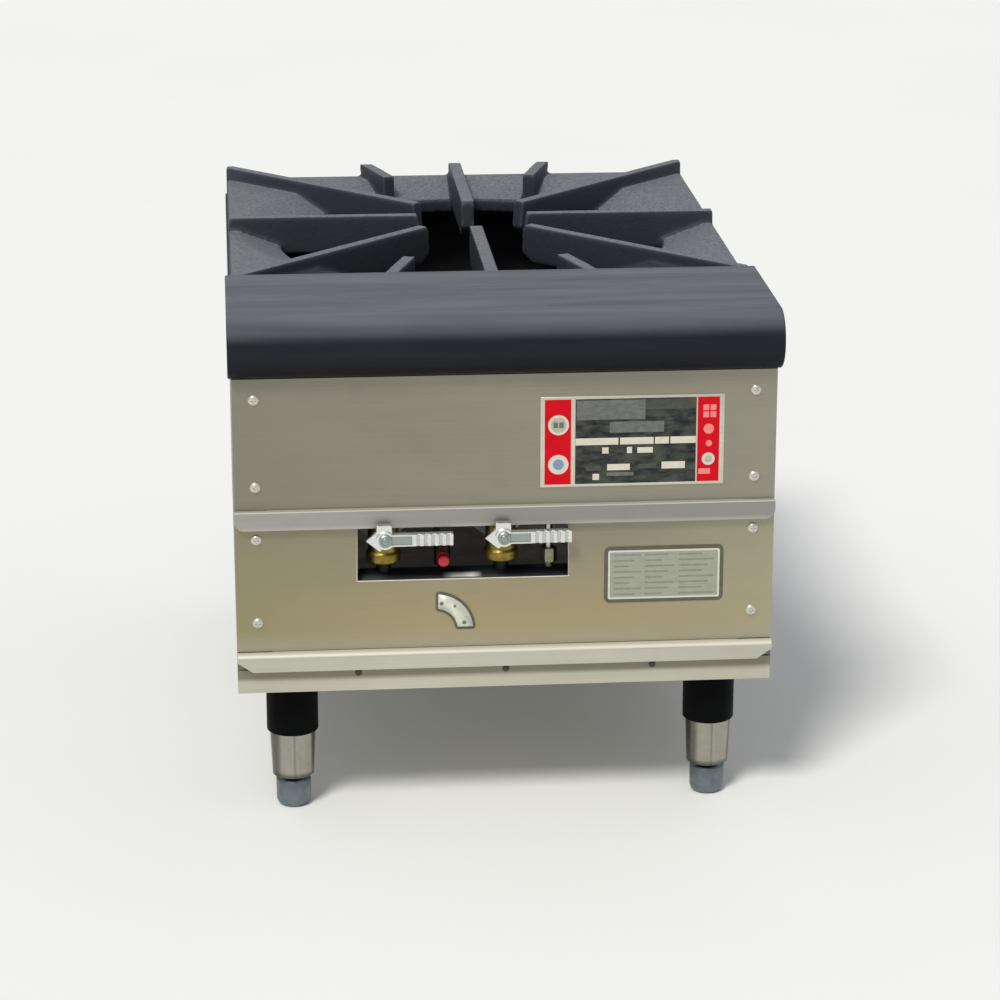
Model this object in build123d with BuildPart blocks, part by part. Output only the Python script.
from build123d import *
from math import cos, pi, radians, sin, sqrt
import os

os.makedirs("parts", exist_ok=True)

# A gas stock pot range with one two-ring burner on four adjustable legs. Millimetres.
# X runs to the right as seen from the front, Y runs to the back, Z up from the floor.
# The origin is on the floor, under the middle of the whole range.

# ---------------------------------------------------------------- body sizes
body_width = 457.0           # outside of the side panels
leg_height = 120.0           # floor to the underside of the base
sheet = 1.5                  # thickness of the folded panels
flange_width = 25.0          # turned-in edges that take the screws
base_strip_height = 20.5     # face of the front base rail
panel_gap = 0.5              # around the drip tray's lip
tray_lip_height = 16.0
lips_apart = 109.5           # drip tray's lip to the middle lip
middle_lip_height = 16.5
upper_panel_height = 114.0
lip_projection = 6.0         # middle lip in front of the panels
tray_lip_projection = 8.0
lip_corner = 8.0             # rounding of the middle lip's lower corners
tray_lip_corner = (13.0, 9.0)  # width and height cut off the drip tray lip's lower corners
face_gap = 0.3               # clearance of moving pieces from what they pass
play = 0.05                  # radial clearance of pins and shafts
cut = 1.0                    # how far a cutting tool runs past the face it cuts

# ---------------------------------------------------------------- front rail
rail_height = 52.0
rail_top_depth = 150.0       # back edge of the rail, behind the panels' face
rail_nose = 20.0             # front of the nose, before the panels' face
rail_overhang = 3.0          # beyond the side panels, at each end
rail_wall = 2.0
rail_edge_round = 1.5

# ---------------------------------------------------------------- grate
grate_side_gap = 1.5         # square grate inside the outsides of the side panels
grate_gap = 1.5              # behind the rail
rail_above_ribs = 1.0        # rail top above the level rib tops
grate_skirt = 16.0           # height of the rim, seat to rim top
grate_skirt_wall = 8.0
grate_plate = 7.0            # thickness of the rim plate
rib_rise = 12.0              # rib tops above the rim
rib_thickness = 12.0
rib_depth = 34.0             # height of a rib's free inner end
rib_inner_radius = 51.0      # upper inner end of the four ribs square to the sides
corner_rib_inner_radius = 68.0
rib_nose_slant = 3.0         # how far the inner end leans in below its top
rib_nose_drop = 24.0
rib_heel = (3.0, 6.0)        # belly's start: behind the nose, above the belly
rib_heel_length = 12.0       # from the nose to where the belly is level
rib_overlap = 1.0            # how far one form of the casting runs into the next
bowl_edge = 9.0              # where the plate starts to slope down, inside the grate's edge
bowl_slope = 40.0            # width of the sloping ring around the round opening
bowl_drop = 15.0
bowl_lip = 12.0              # upright edge around the opening
short_rib_outer = 88.0       # X of a short rib's outer end, on the grate's edge
short_rib_inner = 68.5       # X of its inner end
short_rib_start = 61.0       # its inner end, inside the grate's edge
short_rib_clear = 2.0        # its lower inner end above the bottom of the slope
frame_wall = 3.0             # angle frame under the grate
frame_leg = 25.0

# ---------------------------------------------------------------- front openings and fittings
window_left = -125.5
window_right = 52.5
window_height = 48.0
screw_side_inset = 18.0      # panel screws from the sides
screw_below_rail = 18.0
screw_above_middle_lip = 20.0
screw_below_middle_lip = 9.5
screw_above_tray_lip = 26.0
screw_head_radius = 4.8
screw_head_height = 2.8
screw_shank_radius = 2.0
screw_length = 8.0
base_screw_spacing = 126.0
base_screw_drop = 5.0        # below the drip tray's lip
base_screw_head_radius = 3.0
base_screw_head_height = 1.6
back_screw_rises = (40.0, 150.0, 255.0)  # above the underside of the base
rating_plate_inset = 44.5    # right edge of the plate from the right side
rating_plate_drop = 20.5     # top edge below the rail
rating_plate_size = (155.5, 79.0)
lower_plate_inset = 42.8
lower_plate_drop = 23.5      # top edge below the middle lip
lower_plate_size = (102.0, 50.0)
lower_plate_corner = 5.0
plate_thickness = 0.8
arc_plate_x = -60.0          # centre of its arcs
arc_plate_rise = 16.0        # centre of its arcs above the drip tray's lip
arc_plate_outer = 34.0
arc_plate_inner = 16.5
arc_plate_corner = 3.0

# ---------------------------------------------------------------- gas train
pipe_radius = 13.35          # 3/4 in gas pipe
pipe_bore = 10.45
manifold_depth = 20.0        # axis behind the panels' face
manifold_rise = 3.5          # top of the manifold above the window's lower edge
manifold_end = 34.5          # pipe's blind end, to the left of the window
supply_inset = 43.5          # pipe to the rear inlet, from the right side
inlet_reach = 28.0           # pipe beyond the back panel
inlet_thread_radius = 13.1   # turned-down end of the supply pipe
inlet_thread_length = 20.0
fitting_wall = 4.5
socket_depth = 15.0
elbow_bend = 22.0            # radius of the elbow's centre line
bracket_left = 2.5           # left bracket, outside the window
bracket_right = 59.5         # right bracket, outside the window
bracket_wall = 3.0
bracket_foot = 12.0          # screwed foot, turned away from the window
bracket_margin = 6.0         # bracket beyond the pipe
valve_positions = (-103.0, -3.0)
valve_rise = 37.0            # stem axis above the manifold
valve_radius = 15.0
valve_below = 30.5           # body below the stem axis
valve_above = 17.0           # body above the stem axis
valve_chamfer = 1.5
valve_neck_radius = 6.5
stem_radius = 5.0
stem_bonnet_radius = 9.0
stem_bore_depth = 16.0
stem_end_gap = 1.0           # shaft's end to the bottom of its blind bore
outlet_radius = 10.0
outlet_length = 10.0
spud_radius = 8.5
spud_length = 17.0
spud_hole = 1.2
lever_back = 10.0            # rear face of a lever, before the panels' face
lever_thickness = 8.0
lever_boss_height = 3.0
lever_boss_radius = 6.5
lever_reach = 59.0
lever_hub_radius = 9.0
lever_ear_radius = 4.5
lever_ear_offset = 9.0
lever_neck_height = 8.0
lever_grip_height = 11.0
lever_grip_start = 23.0
pilot_x = -53.0
pilot_rise = 12.0            # knob axis above the manifold
pilot_body_radius = 7.0
pilot_body_above = 9.0       # body above the knob axis
pilot_knob_radius = 5.3
pilot_knob_length = 11.0
pilot_knob_chamfer = 1.0
pilot_knob_front = 1.0       # before the panels' face
pilot_stem_radius = 2.0
pilot_nut_radius = 5.0
pilot_nut_length = 8.0
fitting_x = 38.0
fitting_radius = 6.4
fitting_height = 12.0
small_neck_radius = 4.0
small_neck_height = 4.0
tube_radius = 3.0
tube_bend = 18.0
upper_tube_rise = 64.0       # level run of the right pilot tube above the manifold

# ---------------------------------------------------------------- burner
burner_drop = 70.0           # ring tops below the grate's seat
ring_height = 24.0
ring_width = 26.0
ring_wall = 5.0
outer_ring_radius = 105.0    # middle of the casting's width
inner_ring_radius = 42.0
port_radius = 1.5
port_pitch = 27.0            # along the ring
feed_radius = 7.0
mixer_radius = 16.0
mixer_wall = 3.0
mixer_bend = 30.0
mixer_flange_radius = 20.0
mixer_flange_thickness = 4.0
bell_radius = 24.0
bell_length = 26.0
shutter_thickness = 1.5
shutter_slots = 3
shutter_slot_radius = 5.0
shutter_slot_circle = 16.0
bar_spacing = 74.0           # the two burner bars, centre to centre
bar_width = 16.0
bar_height = 12.0
bar_wall = 3.0
bar_tab = 30.0
pilot_spacing = 106.0        # the two pilot burners, centre to centre
pilot_offset = 50.0          # before the burner's centre
pilot_burner_radius = 5.0
pilot_burner_height = 24.0
pilot_below_ring = 4.0       # pilot burner's top below the rings' tops
baffle_height = 117.0

# ---------------------------------------------------------------- drip tray
tray_side_gap = 29.5         # tray wall inside the outsides of the side panels
tray_back_gap = 51.0         # tray's rear wall before the back panel's face
tray_floor_drop = 1.3        # tray floor above the lower edge of its lip
tray_sheet = 1.2
tray_wall_height = 13.0
tray_front = 4.0             # front wall behind the panels' face
runner_shelf = 46.0
runner_upright = 24.0

# ---------------------------------------------------------------- base and legs
base_flange_depth = 90.0
base_flange_inset = 12.0
rear_upright = 30.0
leg_inset_side = 46.5
leg_inset_end = 45.0
leg_plate_size = 58.0
leg_plate_thickness = 3.0
stud_radius = 6.0
stud_height = 12.0
collar_radius = 22.3
collar_height = 50.0
collar_edge_round = 1.0
leg_tube_radius = 19.8
leg_tube_end_radius = 18.0
leg_tube_bottom = 29.0
leg_tube_wall = 1.5
leg_tube_insert = 15.0
leg_plug = 16.0
foot_radius = 15.0
foot_tip_radius = 11.0
foot_tip_height = 7.0
foot_shoulder = 24.0
foot_neck_radius = 9.0
foot_stud_radius = 6.0
foot_stud_top = 74.0

# ---------------------------------------------------------------- places worked out from the sizes
grate_size = body_width - 2 * grate_side_gap
half_grate = grate_size / 2
bowl_outer_radius = half_grate - bowl_edge
bowl_radius = bowl_outer_radius - bowl_slope
short_rib_reach = half_grate - short_rib_start
body_depth = rail_top_depth + grate_gap + grate_size + sheet
lever_front = lever_back + lever_thickness + lever_boss_height
front_reach = max(rail_nose, lever_front)
total_depth = front_reach + body_depth + inlet_reach
face_y = front_reach - total_depth / 2
back_y = face_y + body_depth
inlet_end_y = back_y + inlet_reach
tray_lip_bottom = leg_height + base_strip_height + panel_gap
tray_lip_top = tray_lip_bottom + tray_lip_height
middle_lip_bottom = tray_lip_top + lips_apart
middle_lip_top = middle_lip_bottom + middle_lip_height
panel_top = middle_lip_top + upper_panel_height
window_bottom = middle_lip_bottom - window_height
upper_screw_heights = (panel_top - screw_below_rail, middle_lip_top + screw_above_middle_lip)
lower_screw_heights = (middle_lip_bottom - screw_below_middle_lip, tray_lip_top + screw_above_tray_lip)
base_screw_height = tray_lip_bottom - base_screw_drop
back_screw_heights = [leg_height + rise for rise in back_screw_rises]
half_width = body_width / 2
inner_half = half_width - sheet
flange_edge = inner_half - flange_width
rail_bottom = panel_top
rail_top = rail_bottom + rail_height
rail_back_y = face_y + rail_top_depth
rib_top = rail_top - rail_above_ribs
rim_top = rib_top - rib_rise
grate_seat = rim_top - grate_skirt
grate_front_y = rail_back_y + grate_gap
burner_y = grate_front_y + grate_size / 2
side_top = grate_seat - frame_wall
panel_screw_x = half_width - screw_side_inset
manifold_y = face_y + manifold_depth
manifold_top = window_bottom + manifold_rise
manifold_z = manifold_top - pipe_radius
manifold_left = window_left - manifold_end
supply_x = half_width - supply_inset
manifold_right = supply_x - elbow_bend
supply_start_y = manifold_y + elbow_bend
bracket_positions = (window_left - bracket_left, window_right + bracket_right)
valve_axis_height = manifold_top + valve_rise
valve_bottom = valve_axis_height - valve_below
valve_top = valve_axis_height + valve_above
pilot_axis_height = manifold_top + pilot_rise
pilot_body_top = pilot_axis_height + pilot_body_above
upper_tube_height = manifold_top + upper_tube_rise
ring_top = grate_seat - burner_drop
ring_bottom = ring_top - ring_height
bell_y = manifold_y + valve_radius + outlet_length + spud_length
leg_x = half_width - leg_inset_side
front_leg_y = face_y + leg_inset_end
rear_leg_y = back_y - leg_inset_end
tray_floor = tray_lip_bottom + tray_floor_drop
baffle_bottom = side_top - baffle_height
rating_plate_centre = (
    half_width - rating_plate_inset - rating_plate_size[0] / 2,
    panel_top - rating_plate_drop - rating_plate_size[1] / 2,
)
lower_plate_centre = (
    half_width - lower_plate_inset - lower_plate_size[0] / 2,
    middle_lip_bottom - lower_plate_drop - lower_plate_size[1] / 2,
)
arc_plate_centre = (arc_plate_x, tray_lip_top + arc_plate_rise)
base_flange_top = leg_height + sheet


# ---------------------------------------------------------------- helpers
def keep(piece, label):
    """Name a finished piece and write its STEP file."""
    piece.part.label = label
    export_step(piece.part, f"parts/{label}.step")


def slab(x, y, z, mode=Mode.ADD):
    """A box between two limits along each axis."""
    with Locations(((x[0] + x[1]) / 2, (y[0] + y[1]) / 2, (z[0] + z[1]) / 2)):
        Box(x[1] - x[0], y[1] - y[0], z[1] - z[0], mode=mode)


def rod_y(radius, x, z, y, mode=Mode.ADD):
    """A round rod along Y between two limits."""
    with Locations(Plane((x, (y[0] + y[1]) / 2, z), z_dir=(0, 1, 0))):
        Cylinder(radius, y[1] - y[0], mode=mode)


def rod_z(radius, x, y, z, mode=Mode.ADD):
    """A round rod along Z between two limits."""
    with Locations((x, y, (z[0] + z[1]) / 2)):
        Cylinder(radius, z[1] - z[0], mode=mode)


def front_plane(y):
    """A sketch plane facing the front, with its x to the right and its y up."""
    return Plane((0, y, 0), x_dir=(1, 0, 0), z_dir=(0, -1, 0))


# ---------------------------------------------------------------- side panels
def side_panel(side):
    """One side panel with its turned-in edges; side is -1 for left and 1 for right."""
    outer = side * half_width
    inner = side * inner_half
    edge = side * flange_edge
    across = sorted((inner, edge))
    front = face_y + sheet
    rear = back_y - sheet
    with BuildPart() as panel:
        with BuildSketch(Plane.YZ.offset(min(outer, inner))):
            with BuildLine():
                Polyline(
                    (front, leg_height), (rear, leg_height), (rear, side_top),
                    (grate_front_y, side_top), (grate_front_y, panel_top), (front, panel_top),
                    close=True,
                )
            make_face()
        extrude(amount=sheet)
        slab(across, (front, front + sheet), (base_flange_top + sheet, panel_top))
        slab(across, (rear - sheet, rear), (base_flange_top + sheet, side_top - frame_leg))
        slab(across, (front, rail_back_y), (panel_top - sheet, panel_top))
        slab(
            sorted((inner, inner - side * base_flange_inset)), (front, rear),
            (base_flange_top, base_flange_top + sheet),
        )
        for z in upper_screw_heights + lower_screw_heights:
            rod_y(screw_shank_radius + play, side * panel_screw_x, z,
                  (front - sheet, front + 2 * sheet), Mode.SUBTRACT)
        for z in back_screw_heights:
            rod_y(screw_shank_radius + play, side * panel_screw_x, z,
                  (rear - 2 * sheet, rear + sheet), Mode.SUBTRACT)
    return panel


keep(side_panel(-1), "left_side_panel")
keep(side_panel(1), "right_side_panel")

# ---------------------------------------------------------------- back panel
with BuildPart() as back_panel:
    slab((-half_width, half_width), (back_y - sheet, back_y), (leg_height, grate_seat))
    rod_y(pipe_radius + sheet, supply_x, manifold_z, (back_y - 2 * sheet, back_y + sheet), Mode.SUBTRACT)
    for side in (-1, 1):
        for z in back_screw_heights:
            rod_y(screw_shank_radius + play, side * panel_screw_x, z,
                  (back_y - 2 * sheet, back_y + sheet), Mode.SUBTRACT)
keep(back_panel, "back_panel")


# ---------------------------------------------------------------- base rails
def leg_holes(y):
    """Clear holes for the studs of the two legs at one end of the base."""
    for x in (-leg_x, leg_x):
        rod_z(stud_radius + play, x, y, (leg_height - sheet, base_flange_top + sheet), Mode.SUBTRACT)


with BuildPart() as front_base_rail:
    slab((-half_width, half_width), (face_y, face_y + sheet),
         (leg_height, leg_height + base_strip_height))
    slab((-inner_half, inner_half), (face_y, face_y + base_flange_depth), (leg_height, base_flange_top))
    leg_holes(front_leg_y)
    for x in (-base_screw_spacing, 0, base_screw_spacing):
        rod_y(screw_shank_radius + play, x, base_screw_height,
              (face_y - sheet, face_y + 2 * sheet), Mode.SUBTRACT)
keep(front_base_rail, "front_base_rail")

with BuildPart() as rear_base_rail:
    slab((-inner_half, inner_half), (back_y - base_flange_depth, back_y - sheet),
         (leg_height, base_flange_top))
    slab((-flange_edge, flange_edge), (back_y - 2 * sheet, back_y - sheet),
         (leg_height, leg_height + rear_upright))
    leg_holes(rear_leg_y)
keep(rear_base_rail, "rear_base_rail")

# ---------------------------------------------------------------- front panels and the lip between
with BuildPart() as upper_front_panel:
    slab((-half_width, half_width), (face_y, face_y + sheet), (middle_lip_top, panel_top))
    slab((-flange_edge, flange_edge), (face_y, face_y + flange_width), (panel_top - sheet, panel_top))
    for x in (-panel_screw_x, panel_screw_x):
        for z in upper_screw_heights:
            rod_y(screw_shank_radius + play, x, z, (face_y - sheet, face_y + 2 * sheet), Mode.SUBTRACT)
keep(upper_front_panel, "upper_front_panel")

lower_panel_bottom = tray_lip_top + panel_gap
lower_panel_top = middle_lip_top - sheet
with BuildPart() as lower_front_panel:
    slab((-half_width, half_width), (face_y, face_y + sheet), (lower_panel_bottom, lower_panel_top))
    slab((-flange_edge, flange_edge), (face_y, face_y + flange_width / 2),
         (lower_panel_bottom, lower_panel_bottom + sheet))
    slab((window_left, window_right), (face_y - sheet, face_y + 2 * sheet),
         (window_bottom, middle_lip_bottom), Mode.SUBTRACT)
    for x in (-panel_screw_x, panel_screw_x):
        for z in lower_screw_heights:
            rod_y(screw_shank_radius + play, x, z, (face_y - sheet, face_y + 2 * sheet), Mode.SUBTRACT)
keep(lower_front_panel, "lower_front_panel")

with BuildPart() as middle_front_lip:
    lip_front = face_y - lip_projection
    with BuildSketch(front_plane(lip_front + sheet)):
        with Locations((0, (middle_lip_bottom + middle_lip_top) / 2)):
            Rectangle(body_width, middle_lip_top - middle_lip_bottom)
    extrude(amount=sheet)
    lower_corners = middle_front_lip.edges().filter_by(Axis.Y).group_by(Axis.Z)[0]
    fillet(lower_corners, lip_corner)
    slab((-half_width, half_width), (lip_front, face_y), (middle_lip_top - sheet, middle_lip_top))
    slab((-flange_edge, flange_edge), (lip_front, face_y + flange_width / 2),
         (middle_lip_top - sheet, middle_lip_top))
    slab((-half_width + lip_corner, half_width - lip_corner), (lip_front, face_y - sheet),
         (middle_lip_bottom, middle_lip_bottom + sheet))
keep(middle_front_lip, "middle_front_lip")


# ---------------------------------------------------------------- front rail
def rail_profile(inset):
    """The rail's closed section, drawn in from the outside by inset."""
    radius = rail_height / 2 - inset
    middle = rail_bottom + rail_height / 2
    nose_centre = face_y - rail_nose + rail_height / 2
    back = rail_back_y - inset
    with BuildSketch(Plane.YZ) as profile:
        with BuildLine():
            Line((back, middle + radius), (nose_centre, middle + radius))
            ThreePointArc(
                (nose_centre, middle + radius), (nose_centre - radius, middle), (nose_centre, middle - radius)
            )
            Line((nose_centre, middle - radius), (back, middle - radius))
            Line((back, middle - radius), (back, middle + radius))
        make_face()
    return profile.sketch


rail_half = half_width + rail_overhang
with BuildPart() as front_rail:
    extrude(rail_profile(0), amount=rail_half, both=True)
    fillet(front_rail.faces().filter_by(Axis.X).edges(), rail_edge_round)
    extrude(rail_profile(rail_wall), amount=rail_half - rail_wall, both=True, mode=Mode.SUBTRACT)
    slab((-flange_edge, flange_edge), (face_y + flange_width, rail_back_y - flange_width),
         (rail_bottom - rail_wall, rail_bottom + 2 * rail_wall), Mode.SUBTRACT)
keep(front_rail, "front_rail")

# ---------------------------------------------------------------- angle frame under the grate
frame_rear_y = back_y - sheet
with BuildPart() as grate_support_frame:
    slab((-half_width, half_width), (grate_front_y, frame_rear_y), (side_top, grate_seat))
    slab((-inner_half, inner_half), (grate_front_y, frame_rear_y),
         (side_top - frame_leg + frame_wall, side_top))
    slab((-inner_half + frame_wall, inner_half - frame_wall),
         (grate_front_y + frame_wall, frame_rear_y - frame_wall),
         (side_top - frame_leg, side_top), Mode.SUBTRACT)
    slab((-inner_half + frame_leg, inner_half - frame_leg),
         (grate_front_y + frame_leg, frame_rear_y - frame_leg),
         (side_top - frame_leg, grate_seat + frame_wall), Mode.SUBTRACT)
keep(grate_support_frame, "grate_support_frame")

# ---------------------------------------------------------------- front baffle
baffle_y = grate_front_y + frame_wall
baffle_half = inner_half - frame_wall
with BuildPart() as front_baffle:
    slab((-baffle_half, baffle_half), (baffle_y, baffle_y + sheet), (baffle_bottom, side_top))
    slab((-baffle_half, baffle_half), (baffle_y, baffle_y + flange_width / 2),
         (baffle_bottom, baffle_bottom + sheet))
keep(front_baffle, "front_baffle")

# ---------------------------------------------------------------- burner support bars
bar_front = baffle_y + sheet
with BuildPart() as burner_support_bars:
    for x in (-bar_spacing / 2, bar_spacing / 2):
        width = (x - bar_width / 2, x + bar_width / 2)
        slab(width, (bar_front, frame_rear_y), (ring_bottom - bar_height, ring_bottom))
        slab((width[0] + bar_wall, width[1] - bar_wall), (bar_front + bar_wall, frame_rear_y - bar_wall),
             (ring_bottom - 2 * bar_height, ring_bottom - bar_wall), Mode.SUBTRACT)
        slab(width, (frame_rear_y - bar_wall, frame_rear_y), (ring_bottom - bar_tab, ring_bottom))
keep(burner_support_bars, "burner_support_bars")


# ---------------------------------------------------------------- burner rings and mixing tubes
def feed_depth(radius, x):
    """Y of the point under a ring of this radius, in front of its centre, at this X."""
    return burner_y - sqrt(radius**2 - x**2)


def burner_ring(radius, feed_x):
    """A cast ring with a gas channel inside, top ports and one feed hole below."""
    channel_width = ring_width - 2 * ring_wall
    channel_height = ring_height - 2 * ring_wall
    ports = round(2 * pi * radius / port_pitch)
    with BuildPart() as ring:
        with BuildSketch(Plane.XZ.offset(-burner_y)):
            with Locations((radius, ring_top - ring_height / 2)):
                Rectangle(ring_width, ring_height)
                Rectangle(channel_width, channel_height, mode=Mode.SUBTRACT)
        revolve(axis=Axis((0, burner_y, 0), (0, 0, 1)))
        with Locations((0, burner_y, ring_top - ring_wall / 2)):
            with PolarLocations(radius, ports):
                Cylinder(port_radius, ring_wall * 2, mode=Mode.SUBTRACT)
        rod_z(feed_radius, feed_x, feed_depth(radius, feed_x),
              (ring_bottom - ring_wall, ring_bottom + 2 * ring_wall), Mode.SUBTRACT)
    return ring


def mixing_tube(radius, x):
    """A cast mixing tube: bell mouth at the valve, level run, bend and flange under the ring."""
    riser_y = feed_depth(radius, x)
    throat_y = bell_y + bell_length
    with BuildPart() as tube:
        with BuildLine() as route:
            FilletPolyline(
                (x, throat_y, valve_axis_height), (x, riser_y, valve_axis_height), (x, riser_y, ring_bottom),
                radius=mixer_bend,
            )
        with BuildSketch(Plane((x, throat_y, valve_axis_height), z_dir=(0, 1, 0))):
            Circle(mixer_radius)
        sweep(path=route.line)
        with BuildSketch(Plane((x, throat_y, valve_axis_height), z_dir=(0, 1, 0))):
            Circle(mixer_radius - mixer_wall)
        sweep(path=route.line, mode=Mode.SUBTRACT)
        with BuildSketch(Plane((x, bell_y, valve_axis_height), z_dir=(0, 1, 0))):
            Circle(bell_radius)
            Circle(bell_radius - mixer_wall, mode=Mode.SUBTRACT)
        with BuildSketch(Plane((x, throat_y, valve_axis_height), z_dir=(0, 1, 0))):
            Circle(mixer_radius)
            Circle(mixer_radius - mixer_wall, mode=Mode.SUBTRACT)
        loft(ruled=True)
        with BuildSketch(Plane((x, riser_y, ring_bottom - mixer_flange_thickness))):
            Circle(mixer_flange_radius)
            Circle(mixer_radius - mixer_wall, mode=Mode.SUBTRACT)
        extrude(amount=mixer_flange_thickness)
    return tube


burners = (
    ("outer", "left", outer_ring_radius, valve_positions[0]),
    ("inner", "right", inner_ring_radius, valve_positions[1]),
)
for burner_name, side_name, radius, x in burners:
    keep(burner_ring(radius, x), f"{burner_name}_burner_ring")
    keep(mixing_tube(radius, x), f"{burner_name}_mixing_tube")

# ---------------------------------------------------------------- air shutters on the spuds
shutter_y = bell_y - face_gap
for burner_name, side_name, radius, x in burners:
    with BuildPart() as air_shutter:
        rod_y(bell_radius, x, valve_axis_height, (shutter_y - shutter_thickness, shutter_y))
        rod_y(spud_radius + play, x, valve_axis_height,
              (shutter_y - 2 * shutter_thickness, bell_y + shutter_thickness), Mode.SUBTRACT)
        with Locations(Plane((x, shutter_y - shutter_thickness / 2, valve_axis_height), z_dir=(0, 1, 0))):
            with PolarLocations(shutter_slot_circle, shutter_slots):
                Cylinder(shutter_slot_radius, 4 * shutter_thickness, mode=Mode.SUBTRACT)
    keep(air_shutter, f"{side_name}_air_shutter")

# ---------------------------------------------------------------- gas pipes
valve_holes = [(x, valve_neck_radius) for x in valve_positions]
small_holes = [(pilot_x, small_neck_radius), (fitting_x, small_neck_radius)]
with BuildPart() as gas_manifold_pipe:
    with BuildSketch(Plane((manifold_left, manifold_y, manifold_z), z_dir=(1, 0, 0))):
        Circle(pipe_radius)
        Circle(pipe_bore, mode=Mode.SUBTRACT)
    extrude(amount=manifold_right - manifold_left)
    for x, radius in valve_holes + small_holes:
        rod_z(radius + play, x, manifold_y, (manifold_z, manifold_top + sheet), Mode.SUBTRACT)
keep(gas_manifold_pipe, "gas_manifold_pipe")

fitting_outer = pipe_radius + fitting_wall
with BuildPart() as manifold_end_cap:
    with BuildSketch(Plane((manifold_left - fitting_wall, manifold_y, manifold_z), z_dir=(1, 0, 0))):
        Circle(fitting_outer)
    extrude(amount=fitting_wall + socket_depth)
    with BuildSketch(Plane((manifold_left, manifold_y, manifold_z), z_dir=(1, 0, 0))):
        Circle(pipe_radius + play)
    extrude(amount=socket_depth + fitting_wall, mode=Mode.SUBTRACT)
keep(manifold_end_cap, "manifold_end_cap")

elbow_start = (manifold_right - socket_depth, manifold_y, manifold_z)
elbow_end = (supply_x, supply_start_y + socket_depth, manifold_z)
with BuildPart() as manifold_elbow:
    with BuildLine() as elbow_route:
        FilletPolyline(elbow_start, (supply_x, manifold_y, manifold_z), elbow_end, radius=elbow_bend)
    with BuildSketch(Plane(elbow_start, z_dir=(1, 0, 0))):
        Circle(fitting_outer)
        Circle(pipe_bore, mode=Mode.SUBTRACT)
    sweep(path=elbow_route.line)
    for mouth, inward in ((elbow_start, (1, 0, 0)), (elbow_end, (0, -1, 0))):
        with BuildSketch(Plane(mouth, z_dir=inward)):
            Circle(pipe_radius + play)
        extrude(amount=socket_depth, mode=Mode.SUBTRACT)
keep(manifold_elbow, "manifold_elbow")

with BuildPart() as gas_supply_pipe:
    with BuildSketch(Plane((supply_x, supply_start_y, manifold_z), z_dir=(0, 1, 0))):
        Circle(pipe_radius)
        Circle(pipe_bore, mode=Mode.SUBTRACT)
    extrude(amount=inlet_end_y - inlet_thread_length - supply_start_y)
    with BuildSketch(Plane((supply_x, inlet_end_y - inlet_thread_length, manifold_z), z_dir=(0, 1, 0))):
        Circle(inlet_thread_radius)
        Circle(pipe_bore, mode=Mode.SUBTRACT)
    extrude(amount=inlet_thread_length)
keep(gas_supply_pipe, "gas_supply_pipe")

# ---------------------------------------------------------------- manifold brackets
with BuildPart() as manifold_brackets:
    for x, outward in zip(bracket_positions, (-1, 1)):
        low = manifold_z - pipe_radius - bracket_margin
        high = manifold_z + pipe_radius
        slab(sorted((x, x + outward * bracket_wall)),
             (face_y + sheet, manifold_y + pipe_radius + bracket_margin), (low, high))
        slab(sorted((x, x + outward * (bracket_wall + bracket_foot))),
             (face_y + sheet, face_y + 2 * sheet), (low, high))
        with Locations(Plane((x, manifold_y, manifold_z), z_dir=(1, 0, 0))):
            Cylinder(pipe_radius + play, 3 * bracket_wall, mode=Mode.SUBTRACT)
keep(manifold_brackets, "manifold_brackets")


# ---------------------------------------------------------------- valves, spuds, stems and levers
def valve_body(x):
    """An upright brass plug valve on the manifold, its outlet to the back and its stem to the front."""
    outlet_y = manifold_y + valve_radius + outlet_length
    with BuildPart() as body:
        rod_z(valve_radius, x, manifold_y, (valve_bottom, valve_top))
        chamfer(body.edges().filter_by(GeomType.CIRCLE), valve_chamfer)
        rod_z(valve_neck_radius, x, manifold_y, (manifold_top - (pipe_radius - pipe_bore), valve_bottom))
        rod_y(outlet_radius, x, valve_axis_height, (manifold_y, outlet_y))
        rod_y(stem_bonnet_radius, x, valve_axis_height,
              (manifold_y - valve_radius - sheet, manifold_y))
        rod_y(stem_radius + play, x, valve_axis_height,
              (manifold_y - valve_radius - 2 * sheet, manifold_y - valve_radius + stem_bore_depth),
              Mode.SUBTRACT)
    return body


def orifice_spud(x):
    """The round spud on a valve outlet, with its small drilled hole."""
    start = manifold_y + valve_radius + outlet_length
    with BuildPart() as spud:
        rod_y(spud_radius, x, valve_axis_height, (start, start + spud_length))
        rod_y(spud_hole, x, valve_axis_height, (start - cut, start + spud_length + cut),
              Mode.SUBTRACT)
    return spud


def valve_stem(x):
    """The stem that the lever turns."""
    tip = face_y - lever_back
    with BuildPart() as stem:
        rod_y(stem_radius, x, valve_axis_height,
              (tip, manifold_y - valve_radius + stem_bore_depth - stem_end_gap))
    return stem


def lever(x):
    """A flat cast lever: a hub with three ears, a neck and a thicker grip, pointing right."""
    with BuildPart() as handle:
        with BuildSketch(front_plane(face_y - lever_back)):
            with Locations((x, valve_axis_height)):
                Circle(lever_hub_radius)
                with PolarLocations(lever_ear_offset, 3, start_angle=90, angular_range=180):
                    Circle(lever_ear_radius)
            with Locations((x + lever_grip_start / 2, valve_axis_height)):
                Rectangle(lever_grip_start, lever_neck_height)
            with Locations((x + (lever_grip_start + lever_reach) / 2, valve_axis_height)):
                Rectangle(lever_reach - lever_grip_start, lever_grip_height)
        extrude(amount=lever_thickness)
        with BuildSketch(front_plane(face_y - lever_back - lever_thickness)):
            with Locations((x, valve_axis_height)):
                Circle(lever_boss_radius)
        extrude(amount=lever_boss_height)
    return handle


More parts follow.
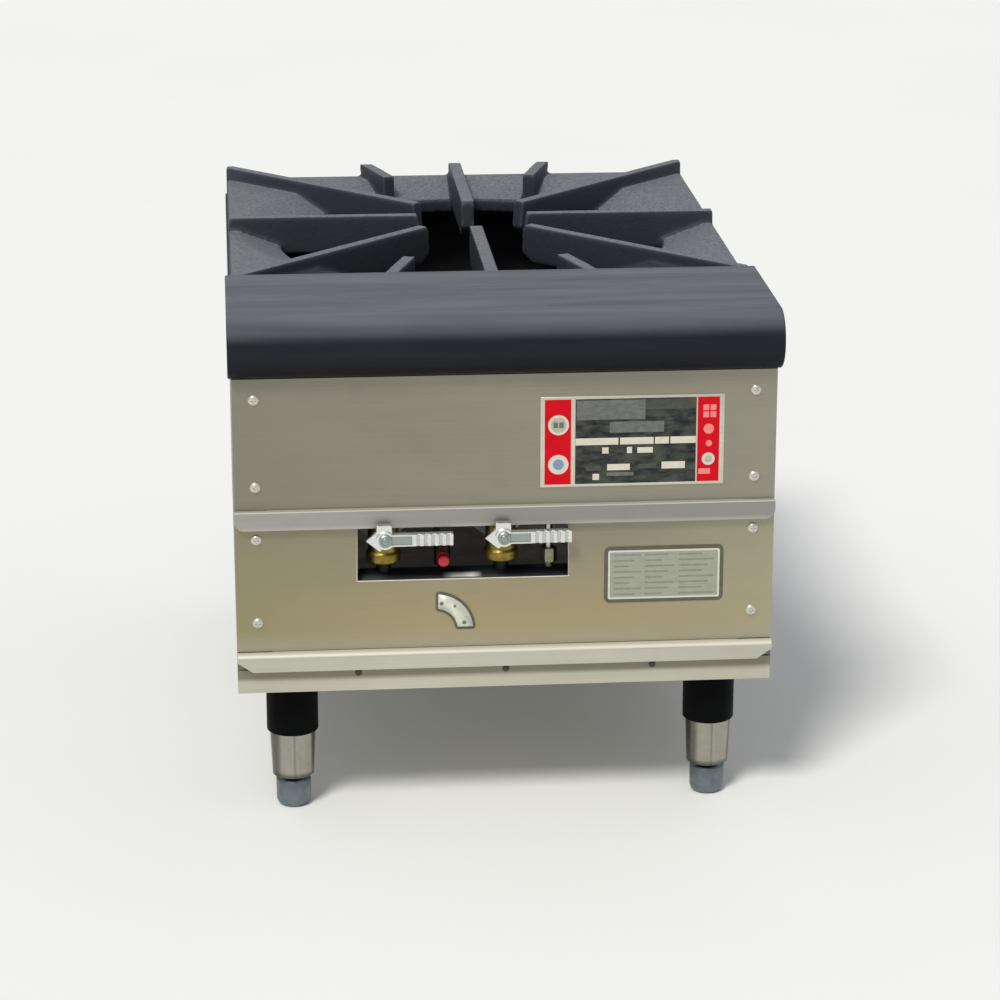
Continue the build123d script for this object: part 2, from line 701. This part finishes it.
for side_name, x in zip(("left", "right"), valve_positions):
    keep(valve_body(x), f"{side_name}_valve_body")
    keep(orifice_spud(x), f"{side_name}_orifice_spud")
    keep(valve_stem(x), f"{side_name}_valve_stem")
    keep(lever(x), f"{side_name}_valve_lever")

# ---------------------------------------------------------------- pilot valve and knob
neck_bottom = manifold_top - (pipe_radius - pipe_bore)
pilot_bore_end = manifold_y
knob_back = face_y - pilot_knob_front + pilot_knob_length
with BuildPart() as pilot_valve_body:
    rod_z(pilot_body_radius, pilot_x, manifold_y, (manifold_top + small_neck_height, pilot_body_top))
    rod_z(small_neck_radius, pilot_x, manifold_y, (neck_bottom, manifold_top + small_neck_height))
    rod_y(pilot_nut_radius, pilot_x, pilot_axis_height,
          (manifold_y, manifold_y + pilot_body_radius + pilot_nut_length))
    rod_y(pilot_stem_radius + play, pilot_x, pilot_axis_height,
          (manifold_y - 2 * pilot_body_radius, pilot_bore_end), Mode.SUBTRACT)
keep(pilot_valve_body, "pilot_valve_body")

with BuildPart() as pilot_knob:
    rod_y(pilot_knob_radius, pilot_x, pilot_axis_height, (face_y - pilot_knob_front, knob_back))
    chamfer(pilot_knob.edges().sort_by(Axis.Y)[0], pilot_knob_chamfer)
    rod_y(pilot_stem_radius, pilot_x, pilot_axis_height, (knob_back, pilot_bore_end - stem_end_gap))
keep(pilot_knob, "pilot_knob")

with BuildPart() as right_pilot_fitting:
    fitting_bottom = manifold_top + small_neck_height
    rod_z(small_neck_radius, fitting_x, manifold_y, (neck_bottom, fitting_bottom))
    with BuildSketch(Plane((fitting_x, manifold_y, fitting_bottom))):
        RegularPolygon(fitting_radius, 6, major_radius=False)
    extrude(amount=fitting_height)
keep(right_pilot_fitting, "right_pilot_fitting")

# ---------------------------------------------------------------- pilot tubes and pilot burners
pilot_y = burner_y - pilot_offset
pilot_top = ring_top - pilot_below_ring
pilot_base = pilot_top - pilot_burner_height
tube_start_y = manifold_y + pilot_body_radius + pilot_nut_length
fitting_top = manifold_top + small_neck_height + fitting_height


def pilot_tube(points):
    """A bent tube through the points, with a solid round section."""
    with BuildPart() as tube:
        with BuildLine() as route:
            FilletPolyline(*points, radius=tube_bend)
        with BuildSketch(Plane(origin=route.line @ 0, z_dir=route.line % 0)):
            Circle(tube_radius)
        sweep(path=route.line)
    return tube


left_route = (
    (pilot_x, tube_start_y, pilot_axis_height),
    (-pilot_spacing / 2, pilot_y, pilot_axis_height),
    (-pilot_spacing / 2, pilot_y, pilot_base),
)
right_route = (
    (fitting_x, manifold_y, fitting_top),
    (fitting_x, manifold_y, upper_tube_height),
    (pilot_spacing / 2, pilot_y, upper_tube_height),
    (pilot_spacing / 2, pilot_y, pilot_base),
)
keep(pilot_tube(left_route), "left_pilot_tube")
keep(pilot_tube(right_route), "right_pilot_tube")

for side, side_name in ((-1, "left"), (1, "right")):
    bar_face = side * (bar_spacing + bar_width) / 2
    x = side * pilot_spacing / 2
    with BuildPart() as pilot_burner:
        rod_z(pilot_burner_radius, x, pilot_y, (pilot_base, pilot_top))
        slab(sorted((bar_face, x)), (pilot_y - pilot_burner_radius, pilot_y + pilot_burner_radius),
             (ring_bottom - bar_height + bar_wall, ring_bottom))
        rod_z(tube_radius + play, x, pilot_y, (ring_bottom - 2 * bar_height, pilot_base), Mode.SUBTRACT)
    keep(pilot_burner, f"{side_name}_pilot_burner")


# ---------------------------------------------------------------- screws
def domed_screw(x, y, z, head_radius, head_height, towards):
    """A round-headed screw whose head faces along Y by towards, -1 to the front."""
    rod_y(screw_shank_radius, x, z, sorted((y, y - towards * screw_length)))
    axis_plane = Plane((x, y, z), x_dir=(1, 0, 0), z_dir=(0, 0, 1))
    with BuildSketch(axis_plane) as profile:
        with BuildLine():
            Line((0, 0), (head_radius, 0))
            RadiusArc(
                (head_radius, 0), (0, towards * head_height),
                towards * (head_radius**2 + head_height**2) / (-2 * head_height),
            )
            Line((0, towards * head_height), (0, 0))
        make_face()
    revolve(profile.sketch, axis=Axis((x, y, z), (0, 1, 0)))


with BuildPart() as panel_screws:
    for x in (-panel_screw_x, panel_screw_x):
        for z in upper_screw_heights + lower_screw_heights:
            domed_screw(x, face_y, z, screw_head_radius, screw_head_height, -1)
keep(panel_screws, "panel_screws")

with BuildPart() as base_screws:
    for x in (-base_screw_spacing, 0, base_screw_spacing):
        domed_screw(x, face_y, base_screw_height, base_screw_head_radius, base_screw_head_height, -1)
keep(base_screws, "base_screws")

with BuildPart() as back_panel_screws:
    for x in (-panel_screw_x, panel_screw_x):
        for z in back_screw_heights:
            domed_screw(x, back_y, z, screw_head_radius, screw_head_height, 1)
keep(back_panel_screws, "back_panel_screws")

# ---------------------------------------------------------------- plates on the front
with BuildPart() as rating_plate:
    with BuildSketch(front_plane(face_y)):
        with Locations(rating_plate_centre):
            Rectangle(*rating_plate_size)
    extrude(amount=plate_thickness)
keep(rating_plate, "rating_plate")

with BuildPart() as lower_plate:
    with BuildSketch(front_plane(face_y)):
        with Locations(lower_plate_centre):
            RectangleRounded(*lower_plate_size, lower_plate_corner)
    extrude(amount=plate_thickness)
keep(lower_plate, "lower_plate")

with BuildPart() as lever_arc_plate:
    with BuildSketch(front_plane(face_y)) as arc_sketch:
        with Locations(arc_plate_centre):
            Circle(arc_plate_outer)
            Circle(arc_plate_inner, mode=Mode.SUBTRACT)
            with Locations((arc_plate_outer, arc_plate_outer)):
                Rectangle(2 * arc_plate_outer, 2 * arc_plate_outer, mode=Mode.INTERSECT)
        fillet(arc_sketch.vertices(), arc_plate_corner)
    extrude(amount=plate_thickness)
keep(lever_arc_plate, "lever_arc_plate")

# ---------------------------------------------------------------- drip tray and its runners
tray_half = half_width - tray_side_gap
tray_back_y = back_y - tray_back_gap
tray_top = tray_floor + tray_wall_height
with BuildPart() as drip_tray:
    slab((-tray_half, tray_half), (face_y + tray_front, tray_back_y), (tray_floor, tray_top))
    slab((-tray_half + tray_sheet, tray_half - tray_sheet),
         (face_y + tray_front + tray_sheet, tray_back_y - tray_sheet),
         (tray_floor + tray_sheet, tray_top + tray_sheet), Mode.SUBTRACT)
    tray_lip_front = face_y - tray_lip_projection
    corner_x = half_width - tray_lip_corner[0]
    corner_z = tray_lip_bottom + tray_lip_corner[1]
    with BuildSketch(front_plane(tray_lip_front + sheet)):
        with BuildLine():
            Polyline(
                (-half_width, tray_lip_top), (-half_width, corner_z), (-corner_x, tray_lip_bottom),
                (corner_x, tray_lip_bottom), (half_width, corner_z), (half_width, tray_lip_top),
                close=True,
            )
        make_face()
    extrude(amount=sheet)
    slab((-half_width, half_width), (tray_lip_front, face_y - face_gap),
         (tray_lip_top - sheet, tray_lip_top))
    slab((-tray_half, tray_half), (tray_lip_front, face_y + tray_front + tray_sheet),
         (tray_lip_top - sheet, tray_lip_top))
    slab((-tray_half, tray_half), (face_y + tray_front, face_y + tray_front + tray_sheet),
         (tray_floor, tray_lip_top))
keep(drip_tray, "drip_tray")

runner_top = tray_floor - face_gap
with BuildPart() as tray_runners:
    for side in (-1, 1):
        wall = side * inner_half
        slab(sorted((wall, wall - side * runner_shelf)), (face_y + 2 * sheet, back_y - 2 * sheet),
             (runner_top - sheet, runner_top))
        slab(sorted((wall, wall - side * sheet)), (face_y + 2 * sheet, back_y - 2 * sheet),
             (runner_top - sheet, runner_top - sheet + runner_upright))
keep(tray_runners, "tray_runners")

# ---------------------------------------------------------------- legs
leg_places = (
    ("front_left", -leg_x, front_leg_y), ("front_right", leg_x, front_leg_y),
    ("rear_left", -leg_x, rear_leg_y), ("rear_right", leg_x, rear_leg_y),
)
collar_bottom = leg_height - collar_height
plate_half = leg_plate_size / 2
with BuildPart() as leg_mounting_plates:
    for leg_name, x, y in leg_places:
        slab((x - plate_half, x + plate_half), (y - plate_half, y + plate_half),
             (base_flange_top, base_flange_top + leg_plate_thickness))
        rod_z(stud_radius + play, x, y, (leg_height, base_flange_top + 2 * leg_plate_thickness),
              Mode.SUBTRACT)
keep(leg_mounting_plates, "leg_mounting_plates")

for leg_name, x, y in leg_places:
    with BuildPart() as collar:
        rod_z(collar_radius, x, y, (collar_bottom, leg_height))
        fillet(collar.edges().filter_by(GeomType.CIRCLE).group_by(Axis.Z)[0], collar_edge_round)
        rod_z(stud_radius, x, y, (leg_height, leg_height + stud_height))
        rod_z(leg_tube_radius + play, x, y, (collar_bottom - cut, collar_bottom + leg_tube_insert),
              Mode.SUBTRACT)
    keep(collar, f"{leg_name}_leg_collar")

    tube_top = collar_bottom + leg_tube_insert
    with BuildPart() as leg_tube:
        with BuildSketch(Plane((x, y, 0), x_dir=(1, 0, 0), z_dir=(0, -1, 0))):
            with BuildLine():
                Polyline(
                    (foot_stud_radius + play, leg_tube_bottom), (leg_tube_end_radius, leg_tube_bottom),
                    (leg_tube_radius, collar_bottom), (leg_tube_radius, tube_top),
                    (leg_tube_radius - leg_tube_wall, tube_top),
                    (leg_tube_radius - leg_tube_wall, collar_bottom),
                    (leg_tube_end_radius - leg_tube_wall, leg_tube_bottom + leg_plug),
                    (foot_stud_radius + play, leg_tube_bottom + leg_plug),
                    close=True,
                )
            make_face()
        revolve(axis=Axis((x, y, 0), (0, 0, 1)))
    keep(leg_tube, f"{leg_name}_leg_tube")

    with BuildPart() as foot:
        with BuildSketch(Plane((x, y, 0), x_dir=(1, 0, 0), z_dir=(0, -1, 0))):
            with BuildLine():
                Polyline((0, foot_stud_top), (0, 0), (foot_tip_radius, 0))
                TangentArc((foot_radius, foot_tip_height), (foot_tip_radius, 0), tangent=(0, -1))
                Polyline(
                    (foot_radius, foot_tip_height), (foot_radius, foot_shoulder),
                    (foot_neck_radius, foot_shoulder), (foot_neck_radius, leg_tube_bottom - face_gap),
                    (foot_stud_radius, leg_tube_bottom - face_gap), (foot_stud_radius, foot_stud_top),
                    (0, foot_stud_top),
                )
            make_face()
        revolve(axis=Axis((x, y, 0), (0, 0, 1)))
    keep(foot, f"{leg_name}_foot")


# ---------------------------------------------------------------- grate
def rib_profile(plane, inner, outer):
    """The side of a long rib: level top, leaning nose, belly that meets the bowl's underside."""
    belly = rib_top - rib_depth
    nose = inner - rib_nose_slant
    bowl_under = rim_top - bowl_drop - grate_plate + 2 * rib_overlap
    rim_under = rim_top - grate_plate + rib_overlap
    with BuildSketch(plane) as profile:
        with BuildLine():
            Polyline(
                (inner, rib_top), (nose, rib_top - rib_nose_drop),
                (nose + rib_heel[0], belly + rib_heel[1]), (nose + rib_heel_length, belly),
                (bowl_radius + rib_overlap, belly), (bowl_radius + grate_plate, bowl_under),
                (bowl_outer_radius + rib_overlap, rim_under), (outer, rim_under),
                (outer, rib_top), close=True,
            )
        make_face()
    return profile.sketch


corner_reach = half_grate * sqrt(2)
with BuildPart() as top_grate:
    origin = (0, burner_y, 0)
    slab((-half_grate, half_grate), (burner_y - half_grate, burner_y + half_grate), (grate_seat, rim_top))
    pocket = half_grate - grate_skirt_wall
    slab((-pocket, pocket), (burner_y - pocket, burner_y + pocket),
         (grate_seat - cut, rim_top - grate_plate), Mode.SUBTRACT)
    rod_z(bowl_outer_radius, 0, burner_y, (grate_seat - cut, rim_top + cut), Mode.SUBTRACT)
    with BuildSketch(Plane(origin, x_dir=(1, 0, 0), z_dir=(0, -1, 0))):
        with BuildLine():
            Polyline(
                (bowl_outer_radius + rib_overlap, rim_top), (bowl_outer_radius, rim_top),
                (bowl_radius, rim_top - bowl_drop), (bowl_radius, rim_top - bowl_drop - bowl_lip),
                (bowl_radius + grate_plate, rim_top - bowl_drop - bowl_lip),
                (bowl_radius + grate_plate, rim_top - bowl_drop - grate_plate / 2),
                (bowl_outer_radius + rib_overlap, rim_top - grate_plate), close=True,
            )
        make_face()
    revolve(axis=Axis(origin, (0, 0, 1)))
    for turn in range(8):
        straight = turn % 2 == 0
        inner = rib_inner_radius if straight else corner_rib_inner_radius
        outer = half_grate if straight else corner_reach
        angle = radians(45 * turn)
        along = (cos(angle), sin(angle), 0)
        side_dir = (sin(angle), -cos(angle), 0)
        middle_plane = Plane(origin, x_dir=along, z_dir=side_dir)
        profile = rib_profile(middle_plane, inner, outer)
        extrude(profile, amount=rib_thickness / 2, both=True)
    for x_side in (-1, 1):
        for y_side in (-1, 1):
            start = Vector(x_side * short_rib_inner, burner_y + y_side * short_rib_reach, 0)
            end = Vector(x_side * short_rib_outer, burner_y + y_side * half_grate, 0)
            run = (end - start).length
            along = (end - start).normalized()
            side_dir = along.cross(Vector(0, 0, 1))
            with BuildSketch(Plane(start, x_dir=along, z_dir=side_dir).offset(-rib_thickness / 2)):
                with BuildLine():
                    Polyline(
                        (0, rib_top), (-rib_nose_slant / 2, rim_top - bowl_drop + short_rib_clear),
                        (bowl_slope, rim_top - grate_plate + rib_overlap),
                        (run + rib_thickness, rim_top - grate_plate + rib_overlap),
                        (run + rib_thickness, rib_top), close=True,
                    )
                make_face()
            extrude(amount=rib_thickness)
    slab((-half_grate, half_grate), (burner_y - half_grate, burner_y + half_grate),
         (grate_seat - rib_depth, rib_top + cut), Mode.INTERSECT)
keep(top_grate, "top_grate")
